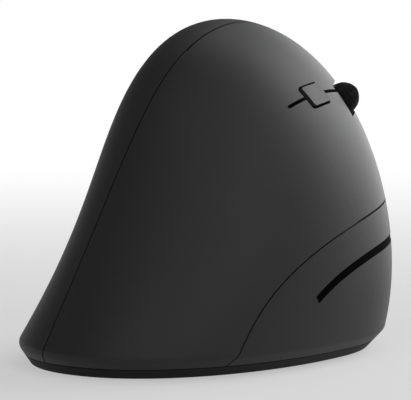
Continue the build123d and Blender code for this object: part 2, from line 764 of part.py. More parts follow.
with BuildPart() as uprights:
    add(footprint(LIP_OUT, FLOOR_TOP - HAIR, LIP_TOP))
    add(footprint(LIP_OUT - LIP_WALL, 0, HEIGHT), mode=Mode.SUBTRACT)
    for spot in (THUMB_BOSS, PALM_BOSS, PANEL_BOSS):
        post(spot, BOSS_R + 2 * FIT, 0, HEIGHT, mode=Mode.SUBTRACT)
    block((-FAR, THUMB_BOSS[0]), (THUMB_BOSS[1] - WEB - FIT, THUMB_BOSS[1] + WEB + FIT),
          (0, HEIGHT), mode=Mode.SUBTRACT)
    block((PANEL_BOSS[0], FAR), (PANEL_BOSS[1] - WEB - FIT, PANEL_BOSS[1] + WEB + FIT),
          (0, HEIGHT), mode=Mode.SUBTRACT)
    block((PALM_BOSS[0] - WEB - FIT, PALM_BOSS[0] + WEB + FIT), (-FAR, PALM_BOSS[1]),
          (0, HEIGHT), mode=Mode.SUBTRACT)
    add(bay.part)
    for spot in STANDOFFS:
        post(spot, STANDOFF_R, FLOOR_TOP - HAIR, MAIN_Z)

with BuildPart() as base_holes:
    with BuildSketch(Plane.XY):
        add(door_face(FIT))
    extrude(amount=FLOOR_TOP)
    with Locations(Location(((door_x[0] + door_x[1]) / 2, *DOOR_PIVOT), (0, 90, 0))):
        Cylinder(DOOR_PIN_R + 0.06, door_x[1] - door_x[0] + 2 * DOOR_PIN_OUT + 2 * FIT)
    for spot in (THUMB_BOSS, PALM_BOSS, PANEL_BOSS) + PILLARS:
        post(spot, SCREW_R + 0.1, 0, FLOOR_TOP + 1)
        post(spot, HEAD_R + 0.2, 0, FOOT_THICK + HEAD_SINK)
    for spot in STANDOFFS:
        post(spot, BOARD_SCREW_R + HAIR, FLOOR_TOP + 0.5, MAIN_Z + 1)
    post(SENSOR, WINDOW_R, 0, FLOOR_TOP + 1)
    block((POWER[0] - NUB[0] / 2 - SLOT_PLAY, POWER[0] + NUB[0] / 2 + SLOT_PLAY),
          (POWER[1] - NUB[1] / 2 - SLOT_PLAY, POWER[1] + NUB[1] / 2 + SLIDE_TRAVEL + SLOT_PLAY),
          (0, FLOOR_TOP + 1))

with BuildPart() as base_shell:
    add(outer)
    Box(3 * FAR, 3 * FAR, 2 * FLOOR_TOP, mode=Mode.INTERSECT)
    add(uprights.part)
    add(base_holes.part, mode=Mode.SUBTRACT)
base_shell.part.label = "base_shell"

with BuildPart() as battery_cell:
    with Locations(Location((CELL_X, CELL_Y[0], CELL_Z), (-90, 0, 0))):
        Cylinder(CELL_R, CELL_Y[1] - CELL_Y[0] - CELL_NUB,
                 align=(Align.CENTER, Align.CENTER, Align.MIN))
        Cylinder(2.75, CELL_Y[1] - CELL_Y[0], align=(Align.CENTER, Align.CENTER, Align.MIN))
    fillet(battery_cell.edges().filter_by(GeomType.CIRCLE).sort_by(SortBy.RADIUS)[-2:], 0.6)
battery_cell.part.label = "battery_cell"

COIL_R = 3.0
WIRE_R = 0.3
CONTACT_T = 0.4
coil_y = BAY_Y[0] + CONTACT_T
coil_length = CELL_Y[0] - coil_y - 1.5 * WIRE_R - HAIR
with BuildPart() as battery_spring:
    with BuildLine() as turns:
        Helix(pitch=coil_length / 2.25, height=coil_length, radius=COIL_R,
              center=(CELL_X, coil_y + WIRE_R / 2, CELL_Z), direction=(0, 1, 0))
    with BuildSketch(Plane(origin=turns.line @ 0, z_dir=turns.line % 0)):
        Circle(WIRE_R)
    sweep(path=turns.line, is_frenet=True)
    block((CELL_X - 4, CELL_X + 4), (BAY_Y[0], coil_y), (CELL_Z - 6, CELL_Z + 1))
battery_spring.part.label = "battery_spring"

with BuildPart() as battery_contact:
    block((CELL_X - 4, CELL_X + 4), (CELL_Y[1] + HAIR, BAY_Y[1]), (CELL_Z - 6, CELL_Z + 2))
battery_contact.part.label = "battery_contact"

with BuildPart() as receiver_cap:
    block((STORE_X - CAP[0] / 2, STORE_X + CAP[0] / 2), (CAP_Y - CAP[1], CAP_Y),
          (STORE_Z - CAP[2] / 2, STORE_Z + CAP[2] / 2))
    fillet(receiver_cap.edges().filter_by(Axis.Y), 1.5)
receiver_cap.part.label = "receiver_cap"

with BuildPart() as receiver_plug:
    block((STORE_X - PLUG[0] / 2, STORE_X + PLUG[0] / 2), (CAP_Y - CAP[1] - PLUG[1], CAP_Y - CAP[1]),
          (STORE_Z - PLUG[2] / 2, STORE_Z + PLUG[2] / 2))
    block((STORE_X - PLUG[0] / 2 + 0.3, STORE_X + PLUG[0] / 2 - 0.3),
          (CAP_Y - CAP[1] - PLUG[1], CAP_Y - CAP[1] - 0.5),
          (STORE_Z - 0.2, STORE_Z + PLUG[2] / 2 - 0.3), mode=Mode.SUBTRACT)
receiver_plug.part.label = "receiver_plug"

with BuildPart() as main_board:
    block(MAIN_X, MAIN_Y, (MAIN_Z, MAIN_Z + BOARD_T))
    add(footprint(LIP_OUT - LIP_WALL - FIT, 0, HEIGHT), mode=Mode.INTERSECT)
    post(PILLARS[2], PILLAR_R + FIT, 0, HEIGHT, mode=Mode.SUBTRACT)
    for spot in STANDOFFS:
        post(spot, BOARD_SCREW_R + 0.1, 0, HEIGHT, mode=Mode.SUBTRACT)
main_board.part.label = "main_board"

main_top = MAIN_Z + BOARD_T
with BuildPart() as radio_module:
    block((-9.0, 1.0), (26.0, 35.0), (main_top, main_top + 1.8))
radio_module.part.label = "radio_module"

LENS_T = 1.4
with BuildPart() as optical_sensor:
    with Locations((*SENSOR, MAIN_Z)):
        Box(10, 9, MAIN_Z - FLOOR_TOP - LENS_T, align=(Align.CENTER, Align.CENTER, Align.MAX))
optical_sensor.part.label = "optical_sensor"

with BuildPart() as sensor_lens:
    post(SENSOR, WINDOW_R + 1.2, FLOOR_TOP, FLOOR_TOP + LENS_T)
    post(SENSOR, WINDOW_R - 0.2, FOOT_THICK + 0.8, FLOOR_TOP)
sensor_lens.part.label = "sensor_lens"

POWER_BODY = (5.0, 10.0, 3.2)
with BuildPart() as power_switch:
    with Locations((POWER[0], POWER[1] + SLIDE_TRAVEL / 2, FLOOR_TOP)):
        Box(*POWER_BODY, align=(Align.CENTER, Align.CENTER, Align.MIN))
        Box(NUB[0] + 2 * SLOT_PLAY, NUB[1] + SLIDE_TRAVEL + 2 * SLOT_PLAY, 1.6,
            align=(Align.CENTER, Align.CENTER, Align.MIN), mode=Mode.SUBTRACT)
power_switch.part.label = "power_switch"

with BuildPart() as power_slider:
    with Locations((*POWER, FOOT_THICK + 0.3)):
        Box(*NUB, FLOOR_TOP + 1.2 - FOOT_THICK - 0.3,
            align=(Align.CENTER, Align.CENTER, Align.MIN))
power_slider.part.label = "power_slider"

# Plugs and leads between the boards
MAIN_PLUG = (11.0, 21.2)
THUMB_PLUG = (-14.5, 25.0)
PLUG_SIZE = (4.8, 3.6, 3.0)
TOP_PLUG = (-5.5, -15.0)
PLUG_HALF = PLUG_SIZE[1] / 2
LEAD_R = 1.1
with BuildPart() as board_plugs:
    for spot in (MAIN_PLUG, THUMB_PLUG):
        with Locations((*spot, main_top)):
            Box(*PLUG_SIZE, align=(Align.CENTER, Align.CENTER, Align.MIN))
    finger_box(TOP_PLUG[0] - PLUG_HALF, TOP_PLUG[0] + PLUG_HALF,
               TOP_PLUG[1] - PLUG_SIZE[0] / 2, TOP_PLUG[1] + PLUG_SIZE[0] / 2,
               BOARD_TOP, BOARD_TOP + PLUG_SIZE[2])
board_plugs.part.label = "board_plugs"


def lead(points, bends):
    """A round lead: straight runs joined by arcs."""
    with BuildPart() as run:
        with BuildLine() as path:
            FilletPolyline(*points, radius=bends)
        with BuildSketch(Plane(origin=path.line @ 0, z_dir=path.line % 0)):
            Circle(LEAD_R)
        sweep(path=path.line)
    return run


top_end = Vector(*finger.from_local_coords((TOP_PLUG[0] - PLUG_HALF, TOP_PLUG[1], BOARD_TOP + 1.5)))
button_lead = lead((top_end, top_end - finger.x_dir * 8, (20.0, -3.5, 22.0),
                    (MAIN_PLUG[0], 6.0, main_top + 1.5),
                    (MAIN_PLUG[0], MAIN_PLUG[1] - PLUG_SIZE[1] / 2, main_top + 1.5)),
                   (5.0, 8.0, 8.0))
button_lead.part.label = "button_lead"

thumb_end = Vector(*thumb.from_local_coords((11.0, THUMB_BOARD[1] / 2 + HAIR,
                                             THUMB_BOARD_TOP - BOARD_T / 2)))
thumb_lead = lead((thumb_end, thumb_end + thumb.y_dir * 10,
                   (THUMB_PLUG[0], THUMB_PLUG[1], main_top + PLUG_SIZE[2] + 10),
                   (THUMB_PLUG[0], THUMB_PLUG[1], main_top + PLUG_SIZE[2])), (8.0, 6.0))
thumb_lead.part.label = "thumb_lead"


def screws(spots, radius, head_r, seat, head_t, tip):
    """A set of equal screws; the head is on the far side of the seat from the tip."""
    with BuildPart() as group:
        for spot in spots:
            outer_face = seat - head_t if tip > seat else seat + head_t
            post(spot, radius, min(seat, tip), max(seat, tip))
            post(spot, head_r, min(seat, outer_face), max(seat, outer_face))
    return group


seat = FOOT_THICK + HEAD_SINK
housing_screws = screws((THUMB_BOSS, PALM_BOSS, PANEL_BOSS), SCREW_R, HEAD_R, seat, 1.0, SCREW_TOP)
housing_screws.part.label = "housing_screws"
bracket_screws = screws(PILLARS, SCREW_R, HEAD_R, seat, 1.0, SCREW_TOP)
bracket_screws.part.label = "bracket_screws"
board_screws = screws(STANDOFFS, BOARD_SCREW_R, 1.6, main_top, 1.0, FLOOR_TOP + 0.8)
board_screws.part.label = "board_screws"

# Glide feet: pieces of a ring that follows the base's outline, clear of the screws
FOOT_OUT = -5.4
FOOT_IN = -9.4
with BuildPart() as zones:
    block((-10, 16), (30, 60), (-1, 1))
    block((-3, 9.5), (-60, -38), (-1, 1))
    block((-40, -15), (-20, 0), (-1, 1))
    block((20, 40), (8, 26), (-1, 1))

with BuildPart() as glide_feet:
    with BuildSketch(Plane.XY):
        with BuildLine():
            Spline(*outline(FOOT_OUT), periodic=True)
        make_face()
        with BuildLine():
            Spline(*outline(FOOT_IN), periodic=True)
        make_face(mode=Mode.SUBTRACT)
    extrude(amount=FOOT_THICK)
    add(zones.part, mode=Mode.INTERSECT)
glide_feet.part.label = "glide_feet"

pieces = [palm_shell, thumb_shell, side_panel, side_inlay, base_shell, battery_door,
          left_button, right_button, dpi_button, back_button, forward_button,
          wheel_tyre, wheel_rim, wheel_axle, wheel_carrier, wheel_encoder,
          board_bracket, button_board, thumb_board, main_board, radio_module,
          optical_sensor, sensor_lens, power_switch, power_slider, board_plugs,
          button_lead, thumb_lead, battery_cell, battery_spring, battery_contact,
          receiver_cap, receiver_plug, glide_feet, housing_screws, bracket_screws,
          board_screws] + switches
for piece in pieces:
    name = piece.part.label
    placed = piece.part.moved(Location((-MIDDLE_X, -MIDDLE_Y, 0)))
    placed.label = name
    export_step(placed, "parts/" + name + ".step")
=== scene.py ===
# %% [markdown]
# # A vertical mouse for the right hand
# The mouse is a tall, rounded shell in fine matt dark plastic. The CAD frame already has every
# piece at its place and size, in metres. This lesson dresses that frame: soft moulded edges,
# closed flex lines, plastic, rubber and metal finishes, a floor, lamps and a camera.

# %% Load the frame
import json
from math import cos, pi, radians, sin

import bpy
from mathutils import Matrix, Vector

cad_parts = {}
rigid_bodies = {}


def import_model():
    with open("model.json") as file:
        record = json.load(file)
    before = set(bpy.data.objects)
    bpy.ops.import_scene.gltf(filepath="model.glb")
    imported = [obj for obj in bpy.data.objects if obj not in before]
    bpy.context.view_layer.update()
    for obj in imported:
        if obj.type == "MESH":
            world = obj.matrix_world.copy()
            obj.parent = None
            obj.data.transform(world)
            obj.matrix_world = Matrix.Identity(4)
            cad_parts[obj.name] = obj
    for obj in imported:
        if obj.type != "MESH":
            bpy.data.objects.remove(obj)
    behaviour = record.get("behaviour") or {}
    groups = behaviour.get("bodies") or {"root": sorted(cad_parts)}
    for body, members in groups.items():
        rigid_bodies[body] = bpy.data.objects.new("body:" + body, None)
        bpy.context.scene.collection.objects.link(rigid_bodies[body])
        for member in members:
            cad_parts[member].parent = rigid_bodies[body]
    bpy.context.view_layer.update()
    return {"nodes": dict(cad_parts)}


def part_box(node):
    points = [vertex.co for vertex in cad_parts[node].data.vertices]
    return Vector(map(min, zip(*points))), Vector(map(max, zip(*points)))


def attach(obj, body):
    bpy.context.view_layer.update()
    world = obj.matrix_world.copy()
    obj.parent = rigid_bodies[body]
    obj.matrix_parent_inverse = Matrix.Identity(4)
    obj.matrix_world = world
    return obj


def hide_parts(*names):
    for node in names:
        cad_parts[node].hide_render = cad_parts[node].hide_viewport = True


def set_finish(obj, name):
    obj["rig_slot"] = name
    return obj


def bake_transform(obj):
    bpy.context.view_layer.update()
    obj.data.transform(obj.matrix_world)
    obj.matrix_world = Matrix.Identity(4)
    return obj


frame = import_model()
MM = 0.001
print("pieces in the frame:", len(frame["nodes"]))

# %% [markdown]
# The photograph is a plain product picture, taken from behind the mouse's right side with a
# long lens, a little above the desk. A long lens keeps upright lines upright, so the camera
# stands more than half a metre away and looks at the middle of the shell.

# %% The camera
VIEW_FROM = Vector((308.0, -473.3, 81.5)) * MM
VIEW_TO = Vector((3.8, -5.1, 34.4)) * MM
LENS_MM = 226.3
SENSOR_MM = 36.0
bpy.ops.object.camera_add(location=VIEW_FROM)
camera = bpy.context.object
camera.name = "photo_camera"
camera.rotation_euler = (VIEW_TO - VIEW_FROM).to_track_quat("-Z", "Y").to_euler()
camera.data.lens = LENS_MM
camera.data.sensor_width = SENSOR_MM
bpy.context.scene.camera = camera
print("camera distance in mm:", round((VIEW_FROM - VIEW_TO).length / MM))

# %% [markdown]
# The picture has a white ground. A real studio gets it from a white table that runs up behind
# the object. Here one wide floor does the same: it stays a plain pale surface for the light
# that falls on the mouse, and only the camera and the glossy surfaces see it as white. Close to
# the mouse less of that white glow is mixed in: painted shade round the mouse, beside its real
# shadow.

# %% A tree of nodes for one material
def new_material(name):
    """A material with its shader node, ready for more nodes."""
    material = bpy.data.materials.new(name)
    material.use_nodes = True
    return material, material.node_tree, material.node_tree.nodes["Principled BSDF"]


def add_node(tree, kind, **settings):
    """A node with its own settings and its input values, given by name."""
    node = tree.nodes.new(kind)
    for key, value in settings.items():
        if hasattr(node, key):
            setattr(node, key, value)
        else:
            node.inputs[key.replace("_", " ")].default_value = value
    return node


def seen_directly(tree):
    """One where a camera, glossy or transmission ray looks, and zero for the other light."""
    path = add_node(tree, "ShaderNodeLightPath")
    either = add_node(tree, "ShaderNodeMath", operation="MAXIMUM")
    tree.links.new(path.outputs["Is Camera Ray"], either.inputs[0])
    tree.links.new(path.outputs["Is Glossy Ray"], either.inputs[1])
    all_three = add_node(tree, "ShaderNodeMath", operation="MAXIMUM")
    tree.links.new(either.outputs[0], all_three.inputs[0])
    tree.links.new(path.outputs["Is Transmission Ray"], all_three.inputs[1])
    return all_three.outputs[0]


# %% The floor
FLOOR_SIZE = 60.0
FLOOR_PALE = (0.45, 0.45, 0.45, 1.0)
WHITE = (1.0, 1.0, 1.0, 1.0)
# Near the mouse a share of the glow gives way to the lit floor; that darker ring is painted shade.
SHADOW_SHARE = 0.52
SHADOW_REACH = (0.06, 0.6)
bpy.ops.mesh.primitive_plane_add(size=FLOOR_SIZE, location=(0, 0, 0))
floor = bpy.context.object
floor.name = "desk_floor"
material, tree, shader = new_material("pale_floor")
shader.inputs["Base Color"].default_value = FLOOR_PALE
shader.inputs["Roughness"].default_value = 0.9
shader.inputs["Specular IOR Level"].default_value = 0.0
place = add_node(tree, "ShaderNodeTexCoord")
reach = add_node(tree, "ShaderNodeVectorMath", operation="LENGTH")
tree.links.new(place.outputs["Object"], reach.inputs[0])
# Less glow near the mouse: painted shade round it, which also darkens the floor's reflection low
# on the mouse.
fade = add_node(tree, "ShaderNodeMapRange", interpolation_type="SMOOTHSTEP",
                From_Min=SHADOW_REACH[0], From_Max=SHADOW_REACH[1],
                To_Min=1.0 - SHADOW_SHARE, To_Max=1.0)
tree.links.new(reach.outputs["Value"], fade.inputs["Value"])
share = add_node(tree, "ShaderNodeMath", operation="MULTIPLY")
tree.links.new(seen_directly(tree), share.inputs[0])
tree.links.new(fade.outputs["Result"], share.inputs[1])
glow = add_node(tree, "ShaderNodeEmission", Color=WHITE, Strength=1.0)
mix = add_node(tree, "ShaderNodeMixShader")
tree.links.new(share.outputs[0], mix.inputs[0])
tree.links.new(shader.outputs[0], mix.inputs[1])
tree.links.new(glow.outputs[0], mix.inputs[2])
tree.links.new(mix.outputs[0], tree.nodes["Material Output"].inputs["Surface"])
floor.data.materials.append(material)
print("floor:", floor.name, FLOOR_SIZE, "m")

# %% [markdown]
# The mouse is nearly black, so its form is read from reflections. In the picture the light
# comes from the right and a little from behind: the right edge is pale, the middle dark, and a
# thin pale strip runs down the left outline. Soft boxes round a dim room do that: a strong one
# at the right, low ones for the steep lower walls, and weaker ones behind, in front and at the
# left. Near the horizon the room is as white as the floor, so the ground has no edge.

# %% The room
ROOM_LIGHT = 0.12
HORIZON_BAND = (0.04, 0.14)
world = bpy.data.worlds.new("studio")
world.use_nodes = True
bpy.context.scene.world = world
tree = world.node_tree
room = tree.nodes["Background"]
room.inputs["Color"].default_value = WHITE
room.inputs["Strength"].default_value = ROOM_LIGHT
seen = add_node(tree, "ShaderNodeBackground", Color=WHITE, Strength=1.0)
place = add_node(tree, "ShaderNodeTexCoord")
height = add_node(tree, "ShaderNodeSeparateXYZ")
tree.links.new(place.outputs["Generated"], height.inputs[0])
band = add_node(tree, "ShaderNodeMapRange", interpolation_type="SMOOTHSTEP",
                From_Min=HORIZON_BAND[0], From_Max=HORIZON_BAND[1], To_Min=1.0, To_Max=0.0)
tree.links.new(height.outputs["Z"], band.inputs["Value"])
share = add_node(tree, "ShaderNodeMath", operation="MULTIPLY")
tree.links.new(seen_directly(tree), share.inputs[0])
tree.links.new(band.outputs["Result"], share.inputs[1])
choose = add_node(tree, "ShaderNodeMixShader")
tree.links.new(share.outputs[0], choose.inputs[0])
tree.links.new(room.outputs[0], choose.inputs[1])
tree.links.new(seen.outputs[0], choose.inputs[2])
tree.links.new(choose.outputs[0], tree.nodes["World Output"].inputs["Surface"])
print("room light:", ROOM_LIGHT)

# %% The soft boxes
RIGHT = Vector((0.836, 0.543, 0.0))
BEHIND = Vector((-0.543, 0.836, 0.0))
UP = Vector((0.0, 0.0, 1.0))
AIM = Vector((0.0, 0.0, 35.0)) * MM
LAMP_DISTANCE = 1.3
LAMP_SIDE = 0.8


def softbox(name, turn, rise, watts):
    """A soft square lamp. Its turn is counted from the picture's right towards the back."""
    level = RIGHT * cos(radians(turn)) + BEHIND * sin(radians(turn))
    direction = level * cos(radians(rise)) + UP * sin(radians(rise))
    place = AIM + direction * LAMP_DISTANCE
    bpy.ops.object.light_add(type="AREA", location=place)
    lamp = bpy.context.object
    lamp.name = name
    lamp.rotation_euler = (-direction).to_track_quat("-Z", "Y").to_euler()
    lamp.data.shape = "SQUARE"
    lamp.data.size = LAMP_SIDE
    lamp.data.energy = watts
    print("lamp:", name, watts, "W")


softbox("right_softbox", turn=30, rise=35, watts=10.0)
softbox("low_right_softbox", turn=30, rise=8, watts=2.5)
softbox("low_rear_softbox", turn=60, rise=8, watts=7.0)
softbox("high_rear_softbox", turn=60, rise=60, watts=3.0)
softbox("front_softbox", turn=-55, rise=35, watts=4.2)
softbox("left_softbox", turn=-110, rise=45, watts=2.6)

# %% [markdown]
# The large curved pieces keep the CAD shape exactly. The frame's own meshes are loose
# triangles, so each piece is copied, its corners are merged, and its faces are shaded smooth
# across everything flatter than a real edge.

# %% Copy a piece of the frame
SHARP = radians(28)
MERGE_WITHIN = 1e-6


def pick(piece):
    """Selects one object alone and makes it the active one."""
    bpy.ops.object.select_all(action="DESELECT")
    piece.select_set(True)
    bpy.context.view_layer.objects.active = piece


def edit(mode="VERT"):
    """Goes to edit mode with the given kind of selection."""
    bpy.ops.object.mode_set(mode="EDIT")
    bpy.ops.mesh.select_mode(type=mode)


def done():
    """Goes back to object mode."""
    bpy.ops.object.mode_set(mode="OBJECT")


def fresh_copy(node, name):
    """A merged, smooth copy of a CAD node's mesh at the same place."""
    source = frame["nodes"][node]
    piece = bpy.data.objects.new(name, source.data.copy())
    bpy.context.scene.collection.objects.link(piece)
    piece.data.materials.clear()
    pick(piece)
    bpy.ops.mesh.customdata_custom_splitnormals_clear()
    edit()
    bpy.ops.mesh.select_all(action="SELECT")
    bpy.ops.mesh.remove_doubles(threshold=MERGE_WITHIN)
    done()
    bpy.ops.object.shade_smooth_by_angle(angle=SHARP)
    return piece


def keep(piece, body, slot, *nodes):
    """Puts a finished piece on its body, in the place of its CAD nodes."""
    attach(piece, body)
    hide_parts(*nodes)
    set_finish(piece, slot)
    print(piece.name, "faces:", len(piece.data.polygons))


palm = fresh_copy("palm_shell", "palm_skin")
left = fresh_copy("left_button", "left_button_skin")
right = fresh_copy("right_button", "right_button_skin")
keep(fresh_copy("thumb_shell", "thumb_skin"), "housing", "shell", "thumb_shell")
keep(fresh_copy("side_panel", "side_panel_skin"), "housing", "panel", "side_panel")

# %% [markdown]
# On the real mouse the two main buttons are long tongues of the upper shell, and they bend
# where they leave it. The frame has them as hinged pieces with a fine cut there. The picture
# shows no line, so the visible buttons reach back over that cut and meet the shell's edge.
# Each corner of a button's end moves to the nearest point of the shell's own end outline.

# %% The shell's end outline as a dense row of points
FINGER_SPOT = Vector((24.47, 6.62, 57.3)) * MM
FORWARD = Vector((-0.2, 0.942, 0.268)).normalized()
BUTTON_END = -9.7 * MM
SHELL_END = -10.15 * MM
NEAR = 0.01 * MM
NEARLY_FLAT = radians(1)
OUTLINE_CUTS = 24


def along(point):
    """How far a point lies along the fingers' forward direction."""
    return (point - FINGER_SPOT).dot(FORWARD)


def choose(piece, kind, chosen):
    """Selects the marked vertices, edges or faces of a piece, and nothing else."""
    mesh = piece.data
    for parts in (mesh.vertices, mesh.edges, mesh.polygons):
        parts.foreach_set("select", [False] * len(parts))
    getattr(mesh, kind).foreach_set("select", chosen)
    return sum(chosen)


def choose_vertices(piece, test):
    """Selects the vertices that pass a test."""
    return choose(piece, "vertices", [test(v.co) for v in piece.data.vertices])


guide = palm.copy()
guide.data = palm.data.copy()
guide.name = "shell_end_guide"
bpy.context.scene.collection.objects.link(guide)
pick(guide)
choose_vertices(guide, lambda p: abs(along(p) - SHELL_END) > NEAR)
edit()
bpy.ops.mesh.delete(type="VERT")
bpy.ops.mesh.select_all(action="SELECT")
bpy.ops.mesh.dissolve_limited(angle_limit=NEARLY_FLAT)
bpy.ops.mesh.delete(type="ONLY_FACE")
bpy.ops.mesh.select_all(action="SELECT")
bpy.ops.mesh.subdivide(number_cuts=OUTLINE_CUTS)
done()
print("points on the shell's end outline:", len(guide.data.vertices))

# %% Move the buttons' ends onto it
for piece in (left, right):
    pick(piece)
    ends = [v.index for v in piece.data.vertices if abs(along(v.co) - BUTTON_END) < NEAR]
    group = piece.vertex_groups.new(name="flex_end")
    group.add(ends, 1.0, "REPLACE")
    wrap = piece.modifiers.new("meet_the_shell", "SHRINKWRAP")
    wrap.wrap_method = "NEAREST_VERTEX"
    wrap.target = guide
    wrap.vertex_group = group.name
    bpy.ops.object.modifier_apply(modifier=wrap.name)
    print(piece.name, "end corners moved:", len(ends))
bpy.data.objects.remove(guide)

# %% Put the palm skin on its body; the button skins hide the CAD buttons and take their finish
keep(palm, "housing", "shell", "palm_shell")
for piece, body in ((left, "left_button"), (right, "right_button")):
    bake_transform(piece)
    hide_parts(body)
    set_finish(piece, "shell")

# %% [markdown]
# The smaller moulded pieces keep their CAD shape too: the hollowed button between the fingers,
# the two thumb buttons, the black strip, and the base with its door. The wheel's rim, the cell,
# the stored receiver and the sensor's window are round or rounded, so they are copied and
# smoothed in the same way.

# %% Copies of the smaller pieces
COPIES = (
    ("dpi_button", "dpi_button", "key"), ("back_button", "back_button", "key"),
    ("forward_button", "forward_button", "key"), ("side_inlay", "housing", "inlay"),
    ("base_shell", "housing", "shell"), ("battery_door", "battery_door", "shell"),
    ("wheel_rim", "scroll_wheel", "rim"), ("wheel_axle", "scroll_wheel", "steel"),
    ("sensor_lens", "housing", "lens"),
    ("battery_cell", "housing", "cell"), ("battery_spring", "housing", "contact"),
    ("receiver_cap", "housing", "shell"), ("button_lead", "housing", "lead"),
    ("thumb_lead", "housing", "lead"))
for node, body, slot in COPIES:
    keep(fresh_copy(node, node + "_skin"), body, slot, node)

# %% [markdown]
# The wheel wears a soft rubber tyre with cross grooves for the fingertip. A cylinder gives the
# tread, a bevel rounds both shoulders to a half round, and the caps are taken out and bridged to
# make the bore. Every third column of tread faces is then pushed in to make the grooves. The
# tread still comes out pleated, like scales: the comment at the bevel says why.

# %% The wheel's place and the tyre's sizes
OUT = Vector((0.843, 0.026, 0.538)).normalized()
ACROSS = OUT.cross(FORWARD)
WHEEL_FORWARD = 16.2 * MM
WHEEL_SIDEWAYS = 5.6 * MM
WHEEL_DEEP = 11.2 * MM
WHEEL_SPOT = FINGER_SPOT + FORWARD * WHEEL_FORWARD - ACROSS * WHEEL_SIDEWAYS - OUT * WHEEL_DEEP
TYRE_R = 11.0 * MM
TYRE_W = 7.0 * MM
SHOULDER = 3.3 * MM
SHOULDER_STEPS = 6
CAP_MARGIN = 0.1 * MM
BORE_R = 8.45 * MM
COLUMNS = 96
GROOVE_STEP = 3
GROOVE = 0.25 * MM
GROOVE_EDGE = 0.07 * MM
OUTWARD = 0.5
print("wheel's place in mm:", [round(v / MM, 1) for v in WHEEL_SPOT])

# %% Helpers for modelling by hand
SOFT_STEPS = 2
SOFT_ANGLE = radians(35)


def choose_faces(piece, test):
    """Selects the faces that pass a test."""
    return choose(piece, "polygons", [test(f) for f in piece.data.polygons])


def choose_edges(piece, test):
    """Selects the edges whose two ends pass a test together."""
    points = [v.co for v in piece.data.vertices]
    return choose(piece, "edges", [test(points[e.vertices[0]], points[e.vertices[1]])
                                   for e in piece.data.edges])


def settle(piece):
    """Applies a piece's place, turn and scale to its mesh."""
    pick(piece)
    bpy.ops.object.transform_apply(location=True, rotation=True, scale=True)


def put(piece, spot, forward=Vector((1, 0, 0)), up=UP):
    """Turns and moves a piece modelled at the origin."""
    turn = Matrix((forward, up.cross(forward), up)).transposed()
    piece.matrix_world = Matrix.Translation(spot) @ turn.to_4x4()
    settle(piece)


def soften(piece, width):
    """Rounds a finished piece's edges, and shades it smooth."""
    pick(piece)
    rounding = piece.modifiers.new("soft_edges", "BEVEL")
    rounding.width = width
    rounding.segments = SOFT_STEPS
    rounding.limit_method = "ANGLE"
    rounding.angle_limit = SOFT_ANGLE
    bpy.ops.object.modifier_apply(modifier=rounding.name)
    bpy.ops.object.shade_smooth_by_angle(angle=SOFT_ANGLE)


# %% Model the tyre
bpy.ops.mesh.primitive_cylinder_add(vertices=COLUMNS, radius=TYRE_R, depth=TYRE_W)
tyre = bpy.context.object
tyre.name = "tyre"
pick(tyre)
choose_edges(tyre, lambda a, b: abs(a.z - b.z) < NEAR)
edit("EDGE")
# A fault is left here. Edit mode opens in vertex mode, where the choice spreads to the columns'
# own edges, so the bevel also pleats the tread by up to 0.4 mm, and leaves stray faces and small
# holes. Going to edge mode before the edges are chosen would cure it.
bpy.ops.mesh.bevel(offset=SHOULDER, segments=SHOULDER_STEPS, affect="EDGES")
done()
choose_vertices(tyre, lambda p: p.xy.length < TYRE_R - SHOULDER + CAP_MARGIN)
edit()
bpy.ops.mesh.delete(type="VERT")
done()
rim_line = min(v.co.xy.length for v in tyre.data.vertices)
choose_vertices(tyre, lambda p: p.xy.length < rim_line + NEAR)
edit()
shrink = BORE_R / rim_line
bpy.ops.transform.resize(value=(shrink, shrink, 1.0), center_override=(0, 0, 0))
bpy.ops.mesh.bridge_edge_loops()
bpy.ops.mesh.select_all(action="SELECT")
bpy.ops.mesh.normals_make_consistent(inside=False)
done()


def on_groove(face):
    """True for the outward tread faces of every third column."""
    radial = Vector((face.center.x, face.center.y, 0)).normalized()
    column = round(radial.to_2d().angle_signed(Vector((1, 0))) / (2 * pi) * COLUMNS - 0.5)
    return face.normal.dot(radial) > OUTWARD and column % GROOVE_STEP == 0


grooves = choose_faces(tyre, on_groove)
edit("FACE")
bpy.ops.mesh.extrude_region_shrink_fatten(TRANSFORM_OT_shrink_fatten={"value": -GROOVE})
done()
soften(tyre, GROOVE_EDGE)
put(tyre, WHEEL_SPOT, FORWARD, ACROSS)
keep(tyre, "scroll_wheel", "tyre_rubber", "wheel_tyre")
print("groove faces:", grooves)

# %% [markdown]
# Seven screws hold the base from below. Each is a small pan-head screw with a cross recess, sunk
# in a round hole. One is modelled upside down, as it sits: a cylinder for the head, its top face
# inset and extruded to the shank and its tip, and the cross cut with a tapered bar, twice.

# %% Model one screw
HEAD_R = 1.8 * MM
HEAD_T = 1.0 * MM
SHANK_R = 1.0 * MM
SHANK = 6.6 * MM
SEAT = 1.8 * MM
HEAD_SIDES = 32
HEAD_ROUND = 0.35 * MM
HEAD_STEPS = 3
TIP = 0.6 * MM
TIP_SHARE = 0.4
CROSS = Vector((2.2, 0.42, 1.1)) * MM
CROSS_TAPER = 0.6
UPWARD = 0.9
bpy.ops.mesh.primitive_cylinder_add(vertices=HEAD_SIDES, radius=HEAD_R, depth=HEAD_T,
                                    location=(0, 0, SEAT - HEAD_T / 2))
screw = bpy.context.object
screw.name = "screw"
settle(screw)
choose_edges(screw, lambda a, b: max(a.z, b.z) < SEAT - HEAD_T + NEAR)
edit("EDGE")
bpy.ops.mesh.bevel(offset=HEAD_ROUND, segments=HEAD_STEPS, affect="EDGES")
done()
choose_faces(screw, lambda f: f.normal.z > UPWARD)
edit("FACE")
bpy.ops.mesh.inset(thickness=HEAD_R - SHANK_R)
bpy.ops.mesh.extrude_region_move(TRANSFORM_OT_translate={"value": (0, 0, SHANK)})
bpy.ops.mesh.extrude_region_move(TRANSFORM_OT_translate={"value": (0, 0, TIP)})
bpy.ops.transform.resize(value=(TIP_SHARE, TIP_SHARE, 1.0))
done()
